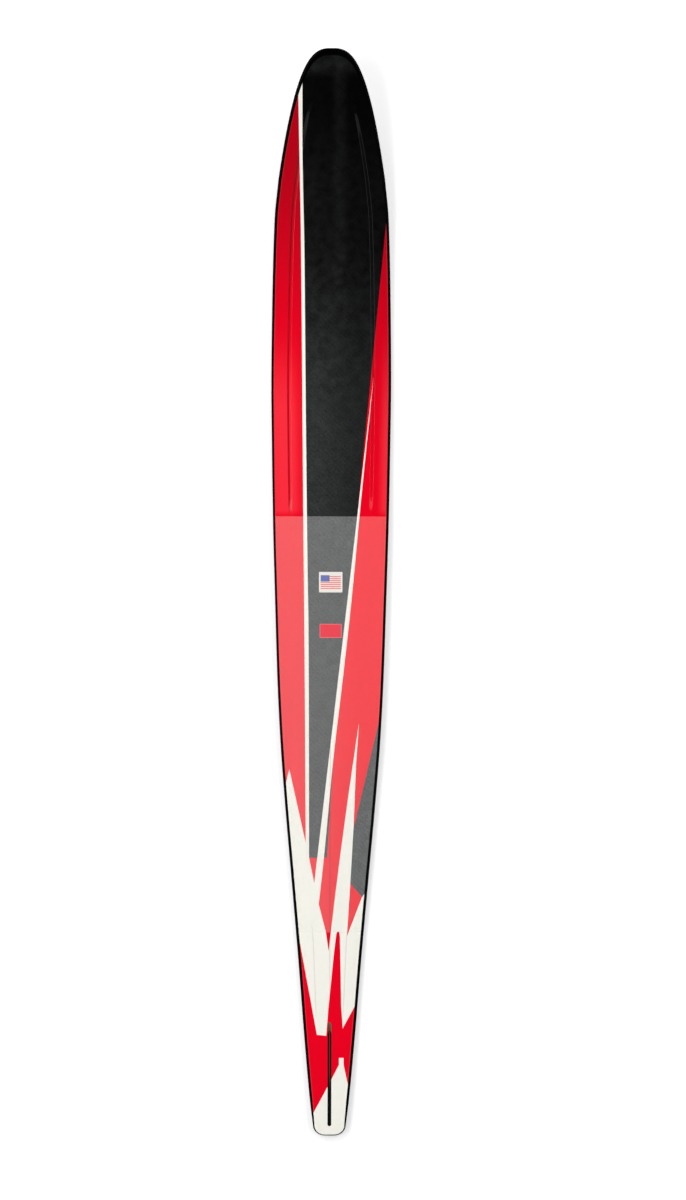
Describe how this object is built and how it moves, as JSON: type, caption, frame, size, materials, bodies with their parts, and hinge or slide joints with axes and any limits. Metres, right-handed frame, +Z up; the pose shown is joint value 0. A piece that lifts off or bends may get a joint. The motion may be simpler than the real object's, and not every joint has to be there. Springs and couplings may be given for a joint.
{
  "type": "slalom water ski",
  "caption": "Bare slalom water ski: rockered composite blank with a broad round tip, stepped deck, tunnel base, narrow tail with a long fin slot, and a frosted binding area.",
  "frame": {"origin": "on the floor under the base, at the middle of the ski's length and width", "axes": "+Y along the ski to the tip, +Z up out of the deck, +X to the right seen from above with the tip ahead"},
  "size_m": [0.1852, 1.676, 0.0865],
  "materials": {
    "carbon_skin": "clear-coated carbon laminate, glossy",
    "foam": "closed-cell foam, matt",
    "laminate": "cut glass and carbon laminate, satin",
    "dark_film": "dark carbon-look film under clear coat, glossy",
    "red_film": "red film under clear coat, glossy",
    "white_film": "white film under clear coat, glossy",
    "frosted_film": "thin frosted translucent film, matt",
    "sticker_white": "printed vinyl sticker, satin",
    "sticker_red": "plain red vinyl label, satin"
  },
  "bodies": {
    "root": {"base_skin": "carbon_skin", "deck_skin": "carbon_skin", "foam_core": "foam", "rail_left": "laminate", "rail_right": "laminate", "tail_block": "laminate", "tip_block": "laminate", "dark_panel_centre": "dark_film", "dark_panel_right": "dark_film", "dark_sliver": "dark_film", "red_panel_left": "red_film", "red_panel_right": "red_film", "red_tail_left": "red_film", "red_tail_right": "red_film", "red_triangle": "red_film", "red_wedge": "red_film", "white_pinstripe": "white_film", "white_long_stripe": "white_film", "white_flash_left": "white_film", "white_flash_middle": "white_film", "white_flash_right": "white_film", "white_tail_tip": "white_film", "mounting_film": "frosted_film", "striped_sticker": "sticker_white", "plain_label": "sticker_red"}
  },
  "joints": []
}
